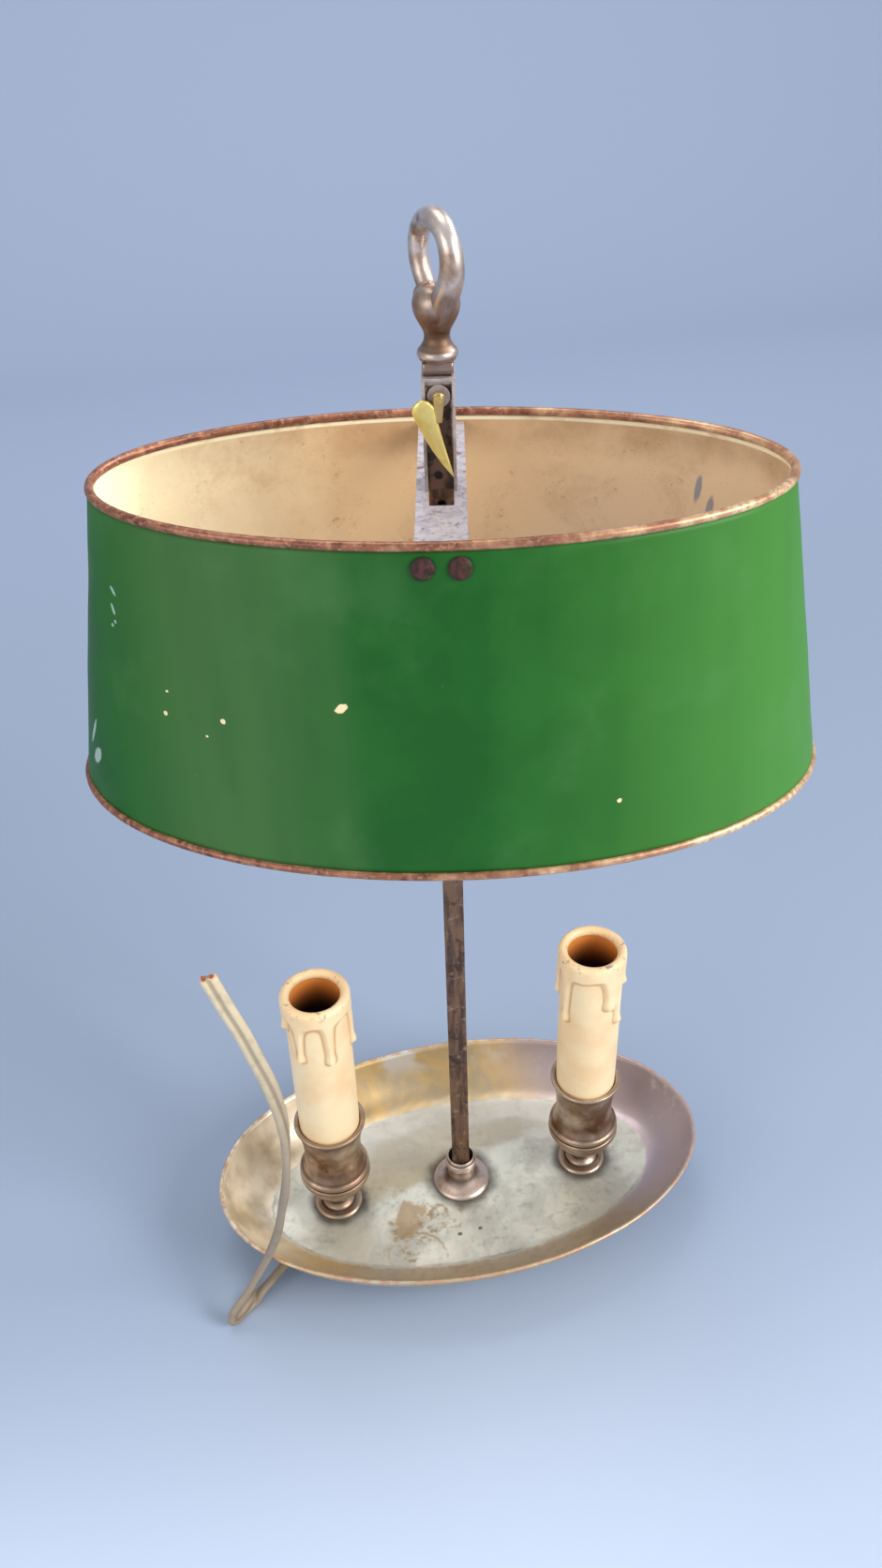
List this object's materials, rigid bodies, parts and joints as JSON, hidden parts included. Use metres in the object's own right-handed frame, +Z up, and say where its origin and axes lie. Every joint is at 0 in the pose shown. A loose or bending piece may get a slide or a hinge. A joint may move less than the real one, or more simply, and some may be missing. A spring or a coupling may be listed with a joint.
{
  "type": "bouillotte lamp",
  "caption": "Two-light table lamp with a dished oval tray, candle cups, a square stem with a ring handle and a sliding oval metal shade",
  "frame": {"origin": "on the surface that the feet stand on, under the stem and the middle of the tray", "axes": "+Z up along the stem, +X along the tray's long axis towards the right-hand candle, -Y towards the front"},
  "size_m": [0.2628, 0.1524, 0.4559],
  "materials": {
    "pewter": "worn pewter-grey plate, stained",
    "nickel": "worn nickel over brass",
    "dark_iron": "dark rust-brown steel",
    "zinc": "mottled zinc grey",
    "brass": "plain brass",
    "pale_brass": "polished pale brass",
    "dark_plastic": "dark moulded insulation",
    "wax": "cream imitation wax with tan drips",
    "card": "orange-brown card",
    "wire": "dark insulated wire",
    "cord": "aged beige twin flex",
    "green_paint": "worn green paint outside, cream paint inside",
    "rim": "worn rust-brown and brass edge"
  },
  "bodies": {
    "base": {"tray": "pewter", "feet": "nickel", "stem_socket": "nickel", "stem": "dark_iron", "stem_washer": "zinc", "stem_nut": "brass", "candle_cup_left": "nickel", "candle_cup_right": "nickel", "cup_washers": "zinc", "cup_nuts": "brass", "nipple_left": "brass", "nipple_right": "brass", "lampholder_left": "dark_plastic", "lampholder_right": "dark_plastic", "screw_shell_left": "brass", "screw_shell_right": "brass", "centre_contact_left": "brass", "centre_contact_right": "brass", "inner_wire_left": "wire", "inner_wire_right": "wire", "terminal_block": "dark_plastic", "terminal_screws": "brass", "cord_clip": "zinc", "clip_screws": "brass", "cord": "cord", "finial_collar": "nickel", "ring_handle": "nickel"},
    "shade": {"shade_shell": "green_paint", "shade_top_wire": "rim", "shade_bottom_wire": "rim", "crossbar": "zinc", "crossbar_rivets": "dark_iron", "clamp_sleeve": "zinc"},
    "clamp_key": {"thumb_screw": "brass", "leaf_grip": "pale_brass"},
    "sleeve_left": {"drip_sleeve_left": "wax", "card_tube_left": "card"},
    "sleeve_right": {"drip_sleeve_right": "wax", "card_tube_right": "card"}
  },
  "joints": [
    {"name": "shade_slide", "type": "slide", "parent": "base", "child": "shade", "axis": [0, 0, 1], "range_m": [-0.14, 0]},
    {"name": "clamp_turn", "type": "hinge", "parent": "shade", "child": "clamp_key", "pos_m": [0, 0, 0.4029], "axis": [-0.1908, -0.9816, 0], "range_deg": [0, 120]},
    {"name": "sleeve_lift_left", "type": "slide", "parent": "base", "child": "sleeve_left", "axis": [0, 0, 1], "range_m": [0, 0.09]},
    {"name": "sleeve_lift_right", "type": "slide", "parent": "base", "child": "sleeve_right", "axis": [0, 0, 1], "range_m": [0, 0.09]}
  ]
}
